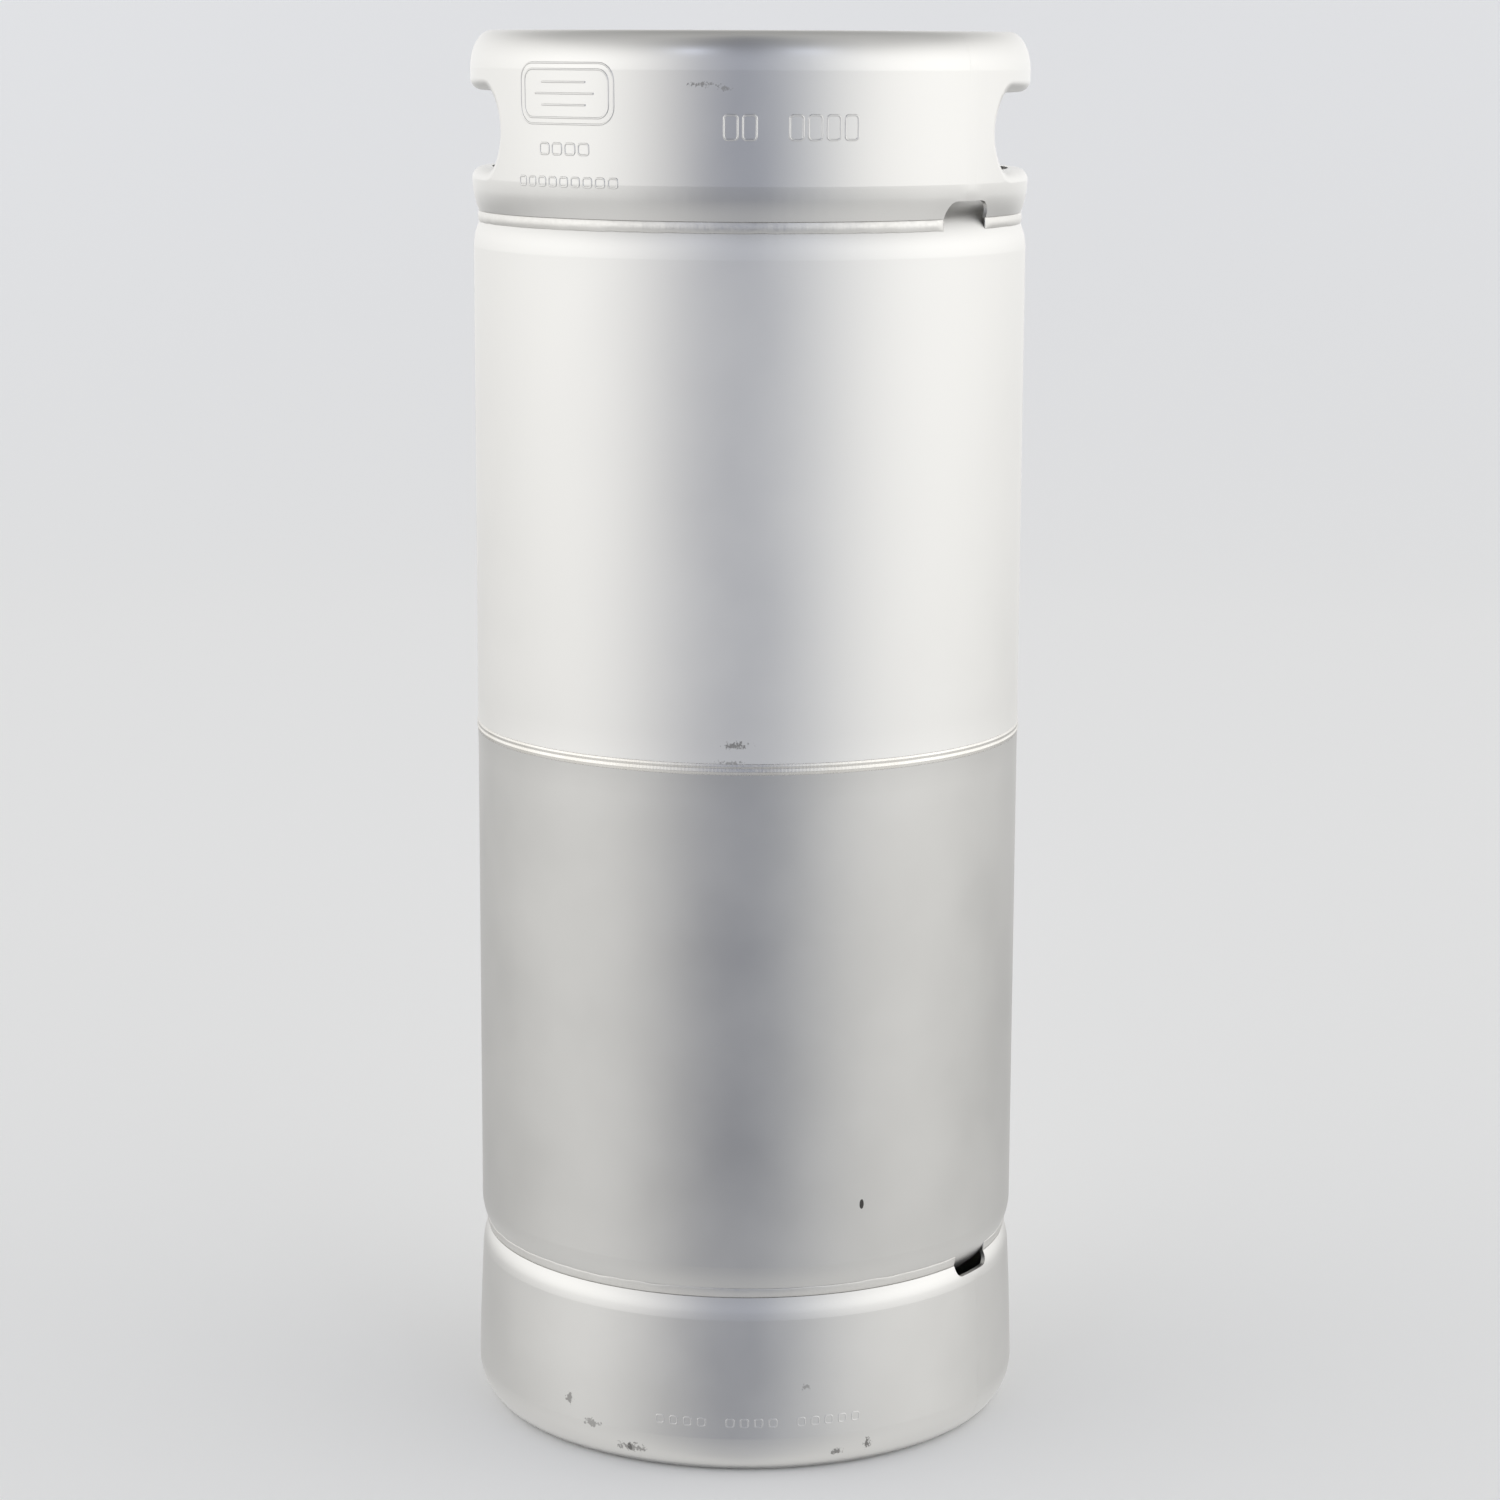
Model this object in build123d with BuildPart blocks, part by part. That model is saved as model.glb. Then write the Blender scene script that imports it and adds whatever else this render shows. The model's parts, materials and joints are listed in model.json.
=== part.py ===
from build123d import *
from math import asin, atan2, cos, degrees, hypot, radians, sin, sqrt
import os

# A slim one-sixth-barrel beer keg in stainless steel, in millimetres, standing on
# its foot ring. The origin is the centre of the foot, +Z is up and the front is -Y.
# Azimuths are in degrees, measured from the front towards +X.

# ---------------------------------------------------------------- driving sizes
keg_height = 594.0
chime_sheet = 1.8  # collar and foot sheet thickness

# tank: two deep-drawn shells with torispherical ends
tank_wall = 1.4
tank_radius = 116.5
knuckle_radius = 24.0
crown_radius = 240.0
shoulder_z = 504.8  # where the straight side ends at the top
heel_z = 91.0  # where the straight side ends at the bottom
sump_radius = 58.0  # the shallow dimple that the down tube reaches into
sump_z = 42.2

# girth seam between the two shells
seam_z = 301.0
seam_gap = 2.0
seam_bead_half_width = 2.3
seam_bead_height = 0.35
seam_groove_height = 0.05
seam_flare = 0.25  # how far each shell opens out towards the seam
seam_flare_length = 11.0

# collar (top chime)
collar_foot = (114.4, 519.8)
collar_knee = (116.85, 526.7)
collar_bend = 41.0
rim_radius = 117.4
rim_roll_depth = 9.0
rim_roll_height = 15.5
rim_flat = 5.4
rim_curl = 7.5
rim_leg = 7.5

# foot (bottom chime)
foot_top = (113.9, 77.2)
foot_shoulder = (116.2, 68.0)
foot_side = (117.3, 45.0)
foot_bulge = (118.15, 17.0)
foot_heel_roll = 20.0
foot_sole_roll = 9.0
foot_flat = 2.7
foot_curl = 6.5
foot_leg = 6.5

# hand holes, one on each side
hand_hole_azimuth = 88.9
hand_hole_z = 553.7
hand_hole_height = 31.5
hand_hole_half_width = 54.4
hand_hole_straight = 46.0
hand_hole_top_corner = 9.0
hand_hole_bottom_corner = 4.0
hand_hole_lip_roll = 4.8
hand_hole_lip_depth = 7.9
lip_margin = 0.2
lip_block_inset = 0.5  # the lip block ends inside the wall sheet
core_clearance = 6.0

# drain slots and the upright butt welds of the two chimes
collar_slot_azimuth = 49.9
collar_slot_width = 28.2
collar_slot_top = 526.8
foot_slot_azimuth = 57.7
foot_slot_width = 25.5
foot_slot_bottom = 72.0
slot_length = 20.5
collar_slot_corner = 6.3
foot_slot_corner = 4.0
collar_slot_centre_z = collar_slot_top - slot_length / 2
foot_slot_centre_z = foot_slot_bottom + slot_length / 2
collar_seam_azimuth = 50.0
collar_seam_width = 5.6
foot_seam_azimuth = 59.0
foot_seam_width = 3.0

# ring welds: the toe on the tank, the crest, and the shelf under the chime's edge
collar_weld_toe = 515.0
collar_weld_crest = (114.85, 517.6)
foot_weld_toe = 81.6
foot_weld_crest = (114.4, 79.5)
collar_weld_shelf = 2.9
foot_weld_shelf = 1.5

# neck
neck_radius = 30.5
neck_bottom = 544.5
neck_top = 576.0
neck_edge = 1.5
edge_break = 0.3  # small rounding of the machined edges that show
mouth_radius = 19.2
mouth_lip = 3.4
notch_radius = 22.4
notch_angle = 42.0
chamber_radius = 23.6
chamber_floor = 563.0
groove_radius = 24.3
neck_bore_radius = 19.4
ledge_z = 556.0
ledge_radius = 17.0
neck_weld_reach = 4.0
neck_weld_curve = 2.2  # radius of the weld face, in reaches

# valve parts that stay with the neck
gasket_thickness = 1.5
gasket_clearance = 0.1
body_radius = 18.8
body_top = 568.0
body_cup_radius = 15.5
body_cup_floor = 562.0
seat_radius = 12.4
seat_underside = 559.8
skirt_radius = 16.7
skirt_bore = 15.9
skirt_bottom = 552.0
ear_radius = 22.2
ear_root = 0.5  # how far the ears reach into the body
ear_angle = 40.0
ear_bottom = 563.2
ear_top = 566.5
ring_thickness = 1.5
ring_inner_radius = 19.9
ring_outer_radius = 24.2
ring_hole_setback = 2.5  # from the gap, in hole radii
ring_gap_angle = 70.0
ring_hole_radius = 0.9
cage_wall = 0.9
cage_bottom = 517.0
cage_floor_z = 518.5
cage_tube_hole = 8.8
cage_window_top = 549.0
cage_window_bottom = 525.0
cage_window_angle = 56.0
cage_windows = 4

# valve parts that slide down together when a coupler is fitted
seal_top = 562.6
seal_hub_radius = 12.0
seal_flange_radius = 14.6
seal_flange_top = 559.7
seal_bottom = 556.2
seal_mouth_radius = 5.5
seal_cone_radius = 7.4
seal_mouth_depth = 3.2
head_radius = 13.8
head_thickness = 1.2
hub_wall = 1.2
hub_bottom = 528.0
tube_radius = 8.0
tube_wall = 0.8
tube_top = 536.5
tube_bottom = 53.0
spring_seat_thickness = 1.2
spring_seat_hole = 3.2
ball_radius = 6.5
ball_z = 555.5

# springs: mean radius, wire radius, turns and the clearance left at each end
gas_spring_radius = 12.2
gas_spring_wire = 1.1
gas_spring_turns = 7
ball_spring_radius = 4.2
ball_spring_wire = 0.4
ball_spring_turns = 6
spring_clearance = 0.1

# ---------------------------------------------------------------- derived sizes
knuckle_centre_radius = tank_radius - knuckle_radius
crown_rise = sqrt((crown_radius - knuckle_radius) ** 2 - knuckle_centre_radius**2)
knuckle_sweep = degrees(atan2(crown_rise, knuckle_centre_radius))
seam_radius = tank_radius + seam_flare
chime_reach = 130.0  # beyond every chime surface
slot_start = 90.0  # inside every chime wall
overlap = 1.0  # how far a cutter reaches past what it cuts
ring_top = ear_top + ring_thickness


def radial_plane(azimuth):
    """A plane that faces outwards at an azimuth, with its y axis upright."""
    a = radians(azimuth)
    return Plane((0, 0, 0), x_dir=(cos(a), sin(a), 0), z_dir=(sin(a), -cos(a), 0))


def section_plane(azimuth):
    """An upright plane through the keg's axis, with its x axis pointing outwards."""
    a = radians(azimuth)
    return Plane((0, 0, 0), x_dir=(sin(a), -cos(a), 0), z_dir=(-cos(a), -sin(a), 0))


def finish(piece, name):
    """Label one finished piece and write it to its own file."""
    piece.part.label = name
    export_step(piece.part, f"parts/{name}.step")
    print(f"{name}: {piece.part.volume / 1000:.2f} cm3, {len(piece.part.solids())} solid(s)")


def tank_section(inset, straight_end, cut_z, up, mode=Mode.ADD):
    """Fill half of the tank's section, inset from its outer face.

    up is 1 for the upper shell and -1 for the lower one.
    """
    outer = tank_radius - inset
    crown_centre = (0, straight_end - up * crown_rise)
    with BuildLine() as outline:
        flare = TangentArc(
            (outer, cut_z + up * seam_flare_length), (outer + seam_flare, cut_z), tangent=(0, -up)
        )
        Line((0, cut_z), flare @ 1)
        Line(flare @ 0, (outer, straight_end))
        CenterArc(
            (knuckle_centre_radius, straight_end), knuckle_radius - inset, 0, up * knuckle_sweep
        )
        crown = CenterArc(
            crown_centre, crown_radius - inset, up * knuckle_sweep, up * (90 - knuckle_sweep)
        )
        Line(crown @ 1, (0, cut_z))
    make_face(outline.edges(), mode=mode)


def sump_disc(inset, mode=Mode.ADD):
    """The disc whose lower edge bulges out of the lower crown as the sump."""
    with Locations((0, sump_z + sump_radius)):
        Circle(sump_radius - inset, mode=mode)


def pie(radius, azimuth, angle, mode=Mode.ADD):
    """A filled pie slice centred on an azimuth."""
    start = azimuth - 90 - angle / 2
    with BuildLine() as slice_edge:
        rim = CenterArc((0, 0), radius, start, angle)
        Line((0, 0), rim @ 0)
        Line(rim @ 1, (0, 0))
    make_face(slice_edge.edges(), mode=mode)


def collar_side(inset):
    """The collar sheet's line from its foot up to the rim, inset from its outer face."""
    return FilletPolyline(
        (collar_foot[0] - inset, collar_foot[1]),
        (collar_knee[0] - inset, collar_knee[1]),
        (rim_radius - inset, keg_height - rim_roll_height),
        radius=collar_bend - inset,
    )


def collar_line(inset):
    """The whole line of the collar sheet: the side, the rolled rim and its inner curl."""
    roll_centre = (rim_radius - rim_roll_depth, keg_height - rim_roll_height)
    curl_centre = (roll_centre[0] - rim_flat, keg_height - rim_curl)
    side = collar_side(inset)
    roll = EllipticalCenterArc(
        roll_centre, rim_roll_depth - inset, rim_roll_height - inset, start_angle=0, arc_size=90
    )
    Line(roll @ 1, (curl_centre[0], keg_height - inset))
    curl = CenterArc(curl_centre, rim_curl - inset, 90, 90)
    leg = Line(curl @ 1, (curl_centre[0] - rim_curl + inset, curl_centre[1] - rim_leg))
    return side @ 0, leg @ 1


def foot_line(inset):
    """The foot sheet's line from its top edge down and round to its inner leg."""
    heel_centre = (foot_bulge[0] - foot_heel_roll, foot_bulge[1])
    centre_distance = foot_heel_roll - foot_sole_roll
    drop = heel_centre[1] - foot_sole_roll
    heel_sweep = degrees(asin(drop / centre_distance))
    sole_x = heel_centre[0] + sqrt(centre_distance**2 - drop**2)
    curl_centre = (sole_x - foot_flat, foot_curl)
    side = ThreePointArc(
        (foot_shoulder[0] - inset, foot_shoulder[1]),
        (foot_side[0] - inset, foot_side[1]),
        (foot_bulge[0] - inset, foot_bulge[1]),
    )
    top = TangentArc(side @ 0, (foot_top[0] - inset, foot_top[1]), tangent=-(side % 0))
    CenterArc(heel_centre, foot_heel_roll - inset, 0, -heel_sweep)
    CenterArc((sole_x, foot_sole_roll), foot_sole_roll - inset, -heel_sweep, heel_sweep - 90)
    Line((sole_x, inset), (curl_centre[0], inset))
    curl = CenterArc(curl_centre, foot_curl - inset, -90, -90)
    leg = Line(curl @ 1, (curl_centre[0] - foot_curl + inset, foot_curl + foot_leg))
    return top @ 1, leg @ 1


def sheet_section(line):
    """The section of a chime: its outer and inner lines, joined at both edges."""
    with BuildLine() as section:
        outer_start, outer_end = line(0)
        inner_start, inner_end = line(chime_sheet)
        Line(outer_start, inner_start)
        Line(outer_end, inner_end)
    make_face(section.edges())


def cut_slots(azimuth, width, centre_z, corner):
    """Two opposite rounded drain slots, cut straight through a chime's wall."""
    for side in (0, 180):
        with BuildSketch(radial_plane(azimuth + side).offset(slot_start)) as slot:
            with Locations((0, centre_z)):
                RectangleRounded(width, slot_length, corner)
        extrude(slot.sketch, amount=chime_reach - slot_start, mode=Mode.SUBTRACT)


def seam_sector(azimuth, width, radius):
    """The narrow wedge that an upright butt weld takes out of a chime."""
    angle = degrees(width / radius)
    with BuildSketch(section_plane(azimuth - angle / 2)) as section:
        with Locations((chime_reach / 2, keg_height / 2)):
            Rectangle(chime_reach, keg_height + 2 * overlap)
    revolve(section.sketch, axis=Axis.Z, revolution_arc=angle)


def hand_hole_outline(grow):
    """A hand hole seen square on: flat top and bottom, bowed ends, round corners."""
    half_height = hand_hole_height / 2
    top, bottom = hand_hole_z + half_height, hand_hole_z - half_height
    with BuildLine() as outline:
        for z in (top, bottom):
            Line((-hand_hole_straight, z), (hand_hole_straight, z))
        for end in (-1, 1):
            ThreePointArc(
                (end * hand_hole_straight, top),
                (end * hand_hole_half_width, hand_hole_z),
                (end * hand_hole_straight, bottom),
            )
    make_face(outline.edges())
    fillet(vertices().group_by(Axis.Y)[0], hand_hole_bottom_corner)
    fillet(vertices().group_by(Axis.Y)[-1], hand_hole_top_corner)
    if grow:
        offset(amount=grow, mode=Mode.REPLACE)


def cut_hand_holes(grow, lip_roll, wall_radius):
    """Cut both hand holes through a wall and roll their outer edges over."""
    with BuildSketch(radial_plane(hand_hole_azimuth)) as hole:
        hand_hole_outline(grow)
    extrude(hole.sketch, amount=chime_reach, both=True, mode=Mode.SUBTRACT)
    rolled = edges(Select.LAST).filter_by(lambda e: hypot((e @ 0.5).X, (e @ 0.5).Y) > wall_radius)
    fillet(rolled, lip_roll)


def on_dome(radius):
    """The point of the upper dome's outer face at a radius."""
    return radius, shoulder_z - crown_rise + sqrt(crown_radius**2 - radius**2)


def ring_weld(tank_arc_z, chime_edge, toe, crest, shelf_width):
    """A ring weld's section: it lies on the tank's knuckle and on a chime's edge.

    tank_arc_z is the height of the knuckle's centre, chime_edge the height of the
    chime's edge, toe the height of its far end, crest the point where it stands out most
    and shelf_width how far it reaches under the chime's edge.
    """
    def on_knuckle(z):
        return knuckle_centre_radius + sqrt(knuckle_radius**2 - (z - tank_arc_z) ** 2), z

    root = on_knuckle(chime_edge)
    middle = on_knuckle((chime_edge + toe) / 2)
    shelf = (root[0] + shelf_width, chime_edge)
    with BuildLine() as bead:
        ThreePointArc(root, middle, on_knuckle(toe))
        ThreePointArc(on_knuckle(toe), crest, shelf)
        Line(shelf, root)
    make_face(bead.edges())


os.makedirs("parts", exist_ok=True)

# ------------------------------------------------------------------ the tank
with BuildPart() as upper_shell:
    with BuildSketch(Plane.XZ):
        tank_section(0, shoulder_z, seam_z + seam_gap / 2, 1)
        tank_section(tank_wall, shoulder_z, seam_z + seam_gap / 2, 1, Mode.SUBTRACT)
    revolve(axis=Axis.Z)
    with BuildSketch(Plane.XY.offset(shoulder_z)):
        Circle(neck_radius)
    extrude(amount=keg_height - shoulder_z, mode=Mode.SUBTRACT)
finish(upper_shell, "upper_shell")

with BuildPart() as lower_shell:
    with BuildSketch(Plane.XZ):
        tank_section(0, heel_z, seam_z - seam_gap / 2, -1)
        sump_disc(0)
        tank_section(tank_wall, heel_z, seam_z - seam_gap / 2, -1, Mode.SUBTRACT)
        sump_disc(tank_wall, Mode.SUBTRACT)
        with Locations((-tank_radius, seam_z)):
            Rectangle(2 * tank_radius, 2 * seam_z, mode=Mode.SUBTRACT)
    revolve(axis=Axis.Z)
finish(lower_shell, "lower_shell")

with BuildPart() as mid_seam_weld:
    with BuildSketch(Plane.XZ):
        with BuildLine():
            for side in (-1, 1):
                ThreePointArc(
                    (seam_radius, seam_z + side * seam_bead_half_width),
                    (seam_radius + seam_bead_height, seam_z + side * seam_bead_half_width / 2),
                    (seam_radius + seam_groove_height, seam_z),
                )
            Line(
                (seam_radius, seam_z - seam_bead_half_width),
                (seam_radius, seam_z + seam_bead_half_width),
            )
        make_face()
        with Locations((seam_radius - tank_wall / 2, seam_z)):
            Rectangle(tank_wall, seam_gap)
    revolve(axis=Axis.Z)
finish(mid_seam_weld, "mid_seam_weld")

# ---------------------------------------------------------------- the collar
lip_radius = tank_radius - hand_hole_lip_depth
core_radius = lip_radius - core_clearance  # well inside the lips
lip_block_height = hand_hole_height + 2 * (hand_hole_lip_roll + lip_margin)
lip_block_depth = hand_hole_lip_depth - lip_block_inset
core_height = lip_block_height + 2 * lip_margin  # takes the whole lip block's back away

with BuildPart() as collar_core:  # what stays empty behind the wall, round the lips
    with BuildSketch(Plane.XZ):
        with BuildLine():
            side = collar_side(chime_sheet)
            Polyline(side @ 0, (core_radius, collar_foot[1]), (core_radius, (side @ 1).Y), side @ 1)
        make_face()
        with Locations((tank_radius, hand_hole_z)):
            Rectangle(tank_radius, core_height, mode=Mode.INTERSECT)
    revolve(axis=Axis.Z)
    cut_hand_holes(chime_sheet, hand_hole_lip_roll - chime_sheet, (lip_radius + tank_radius) / 2)

with BuildPart() as collar:
    with BuildSketch(Plane.XZ):
        sheet_section(collar_line)
        with Locations((lip_radius + lip_block_depth / 2, hand_hole_z)):
            Rectangle(lip_block_depth, lip_block_height)
    revolve(axis=Axis.Z)
    cut_hand_holes(0, hand_hole_lip_roll, tank_radius)
    add(collar_core.part, mode=Mode.SUBTRACT)
    cut_slots(collar_slot_azimuth, collar_slot_width, collar_slot_centre_z, collar_slot_corner)

with BuildPart() as collar_seam:
    seam_sector(collar_seam_azimuth, collar_seam_width, rim_radius)

with BuildPart() as top_chime:
    add(collar.part)
    add(collar_seam.part, mode=Mode.SUBTRACT)
finish(top_chime, "top_chime")

with BuildPart() as top_chime_seam_weld:
    add(collar.part)
    add(collar_seam.part, mode=Mode.INTERSECT)
finish(top_chime_seam_weld, "top_chime_seam_weld")

with BuildPart() as top_chime_weld:
    with BuildSketch(Plane.XZ):
        ring_weld(
            shoulder_z, collar_foot[1], collar_weld_toe, collar_weld_crest, collar_weld_shelf
        )
    revolve(axis=Axis.Z)
    cut_slots(collar_slot_azimuth, collar_slot_width, collar_slot_centre_z, collar_slot_corner)
finish(top_chime_weld, "top_chime_weld")

# ------------------------------------------------------------------ the foot
with BuildPart() as foot:
    with BuildSketch(Plane.XZ):
        sheet_section(foot_line)
    revolve(axis=Axis.Z)
    cut_slots(foot_slot_azimuth, foot_slot_width, foot_slot_centre_z, foot_slot_corner)

with BuildPart() as foot_seam:
    seam_sector(foot_seam_azimuth, foot_seam_width, foot_bulge[0])

with BuildPart() as bottom_chime:
    add(foot.part)
    add(foot_seam.part, mode=Mode.SUBTRACT)
finish(bottom_chime, "bottom_chime")

with BuildPart() as bottom_chime_seam_weld:
    add(foot.part)
    add(foot_seam.part, mode=Mode.INTERSECT)
finish(bottom_chime_seam_weld, "bottom_chime_seam_weld")

with BuildPart() as bottom_chime_weld:
    with BuildSketch(Plane.XZ):
        ring_weld(heel_z, foot_top[1], foot_weld_toe, foot_weld_crest, foot_weld_shelf)
    revolve(axis=Axis.Z)
    cut_slots(foot_slot_azimuth, foot_slot_width, foot_slot_centre_z, foot_slot_corner)
finish(bottom_chime_weld, "bottom_chime_weld")

# ------------------------------------------------------------------ the neck
with BuildPart() as neck:
    with BuildSketch(Plane.XZ):
        with BuildLine():
            Polyline(
                (ledge_radius, neck_bottom),
                (neck_radius, neck_bottom),
                (neck_radius, neck_top - neck_edge),
                (neck_radius - neck_edge, neck_top),
                (mouth_radius, neck_top),
                (mouth_radius, neck_top - mouth_lip),
                (chamber_radius, neck_top - mouth_lip),
                (chamber_radius, ring_top),
                (groove_radius, ring_top),
                (groove_radius, ear_top),
                (chamber_radius, ear_top),
                (chamber_radius, chamber_floor),
                (neck_bore_radius, chamber_floor),
                (neck_bore_radius, ledge_z),
                (ledge_radius, ledge_z),
                close=True,
            )
        make_face()
    revolve(axis=Axis.Z)
    with BuildSketch(Plane.XY.offset(neck_top - mouth_lip)):
        for notch_azimuth in (0, 180):
            pie(notch_radius, notch_azimuth, notch_angle)
    extrude(amount=mouth_lip, mode=Mode.SUBTRACT)
    top_face = faces().sort_by(Axis.Z)[-1]
    fillet(top_face.edges(), edge_break)
finish(neck, "neck")

with BuildPart() as neck_weld:
    with BuildSketch(Plane.XZ):
        with BuildLine():
            dome_edge = ThreePointArc(
                on_dome(neck_radius),
                on_dome(neck_radius + neck_weld_reach / 2),
                on_dome(neck_radius + neck_weld_reach),
            )
            weld_top = dome_edge @ 0 + (0, neck_weld_reach)
            RadiusArc(dome_edge @ 1, weld_top, neck_weld_curve * neck_weld_reach)
            Line(weld_top, dome_edge @ 0)
        make_face()
    revolve(axis=Axis.Z)
finish(neck_weld, "neck_weld")

# ------------------------------------------- valve parts that stay with the neck
with BuildPart() as valve_body:
    shoulder = ledge_z + gasket_thickness
    with BuildSketch(Plane.XZ):
        with BuildLine():
            Polyline(
                (skirt_bore, skirt_bottom),
                (skirt_radius, skirt_bottom),
                (skirt_radius, shoulder),
                (body_radius, shoulder),
                (body_radius, body_top),
                (body_cup_radius, body_top),
                (body_cup_radius, body_cup_floor),
                (seat_radius, body_cup_floor),
                (seat_radius, seat_underside),
                (skirt_bore - cage_wall, seat_underside),
                (skirt_bore - cage_wall, ledge_z),
                (skirt_bore, ledge_z),
                close=True,
            )
        make_face()
    revolve(axis=Axis.Z)
    with BuildSketch(Plane.XY.offset(ear_bottom)):
        for ear_azimuth in (90, 270):
            pie(ear_radius, ear_azimuth, ear_angle)
        Circle(body_radius - ear_root, mode=Mode.SUBTRACT)
    extrude(amount=ear_top - ear_bottom)
    fillet(faces().sort_by(Axis.Z)[-1].edges(), edge_break)
finish(valve_body, "valve_body")

with BuildPart() as body_gasket:
    with BuildSketch(Plane.XY.offset(ledge_z)):
        Circle(neck_bore_radius - gasket_clearance)
        Circle(skirt_radius + gasket_clearance, mode=Mode.SUBTRACT)
    extrude(amount=gasket_thickness)
finish(body_gasket, "body_gasket")

with BuildPart() as retaining_ring:
    ring_middle = (ring_inner_radius + ring_outer_radius) / 2
    hole_swing = ring_gap_angle / 2 + degrees(ring_hole_setback * ring_hole_radius / ring_middle)
    with BuildSketch(Plane.XY.offset(ear_top)):
        Circle(ring_outer_radius)
        Circle(ring_inner_radius, mode=Mode.SUBTRACT)
        pie(ring_outer_radius + overlap, 0, ring_gap_angle, mode=Mode.SUBTRACT)
        for swing in (-hole_swing, hole_swing):
            with PolarLocations(ring_middle, 1, start_angle=swing - 90):
                Circle(ring_hole_radius, mode=Mode.SUBTRACT)
    extrude(amount=ring_thickness)
finish(retaining_ring, "retaining_ring")

with BuildPart() as spring_cage:
    with BuildSketch(Plane.XZ):
        with BuildLine():
            Polyline(
                (cage_tube_hole, cage_bottom),
                (skirt_bore, cage_bottom),
                (skirt_bore, ledge_z),
                (skirt_bore - cage_wall, ledge_z),
                (skirt_bore - cage_wall, cage_floor_z),
                (cage_tube_hole, cage_floor_z),
                close=True,
            )
        make_face()
    revolve(axis=Axis.Z)
    with BuildSketch(Plane.XY.offset(cage_window_bottom)):
        for window in range(cage_windows):
            pie(skirt_bore + overlap, 360 * (window + 0.5) / cage_windows, cage_window_angle)
    extrude(amount=cage_window_top - cage_window_bottom, mode=Mode.SUBTRACT)
finish(spring_cage, "spring_cage")


def coil_spring(bottom, top, radius, wire, turns):
    """A round-wire coil whose outer faces just clear the two heights."""
    height = top - bottom - 2 * (wire + spring_clearance)
    path = Helix(pitch=height / turns, height=height, radius=radius, mode=Mode.PRIVATE)
    path = Pos(0, 0, bottom + wire + spring_clearance) * path
    with BuildSketch(Plane(path @ 0, z_dir=path % 0)) as section:
        Circle(wire)
    sweep(section.sketch, path=path, is_frenet=True)


head_underside = seal_bottom - head_thickness

with BuildPart() as gas_spring:
    coil_spring(cage_floor_z, head_underside, gas_spring_radius, gas_spring_wire, gas_spring_turns)
finish(gas_spring, "gas_spring")

# ------------------------------------------------- valve parts that slide down
with BuildPart() as gas_seal:
    with BuildSketch(Plane.XZ):
        with BuildLine():
            Polyline(
                (seal_mouth_radius, seal_top),
                (seal_hub_radius, seal_top),
                (seal_hub_radius, seal_flange_top),
                (seal_flange_radius, seal_flange_top),
                (seal_flange_radius, seal_bottom),
                (seal_cone_radius, seal_bottom),
                (seal_mouth_radius, seal_top - seal_mouth_depth),
                close=True,
            )
        make_face()
        fillet(vertices().group_by(Axis.Y)[-1], 0.5)
    revolve(axis=Axis.Z)
finish(gas_seal, "gas_seal")

with BuildPart() as spear_head:
    with BuildSketch(Plane.XZ):
        with Locations(((tube_radius + head_radius) / 2, seal_bottom - head_thickness / 2)):
            Rectangle(head_radius - tube_radius, head_thickness)
        with Locations((tube_radius + hub_wall / 2, (hub_bottom + seal_bottom) / 2)):
            Rectangle(hub_wall, seal_bottom - hub_bottom)
    revolve(axis=Axis.Z)
finish(spear_head, "spear_head")

with BuildPart() as down_tube:
    with BuildSketch(Plane.XY.offset(tube_bottom)):
        Circle(tube_radius)
        Circle(tube_radius - tube_wall, mode=Mode.SUBTRACT)
    extrude(amount=tube_top - tube_bottom)
finish(down_tube, "down_tube")

with BuildPart() as ball_spring_seat:
    with BuildSketch(Plane.XY.offset(tube_top)):
        Circle(tube_radius)
        Circle(spring_seat_hole, mode=Mode.SUBTRACT)
    extrude(amount=spring_seat_thickness)
finish(ball_spring_seat, "ball_spring_seat")

with BuildPart() as ball_spring:
    contact = ball_radius + ball_spring_wire + 2 * spring_clearance
    coil_top = ball_z - sqrt(contact**2 - ball_spring_radius**2) + ball_spring_wire
    coil_spring(
        tube_top + spring_seat_thickness,
        coil_top,
        ball_spring_radius,
        ball_spring_wire,
        ball_spring_turns,
    )
finish(ball_spring, "ball_spring")

with BuildPart() as liquid_ball:
    with Locations((0, 0, ball_z)):
        Sphere(ball_radius)
finish(liquid_ball, "liquid_ball")
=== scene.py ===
"""The looks of a slim stainless beer keg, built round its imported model.

The keg stands on the floor at the frame's origin, with +Z up and its front towards -Y.
Azimuths are in degrees from the front towards +X. Sizes in fields are millimetres;
every mesh is in metres.
"""
import json
import logging
import math
from dataclasses import dataclass
from enum import Enum
from typing import Iterable, Sequence

import bpy
from mathutils import Matrix, Vector, noise
from mathutils.bvhtree import BVHTree


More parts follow.
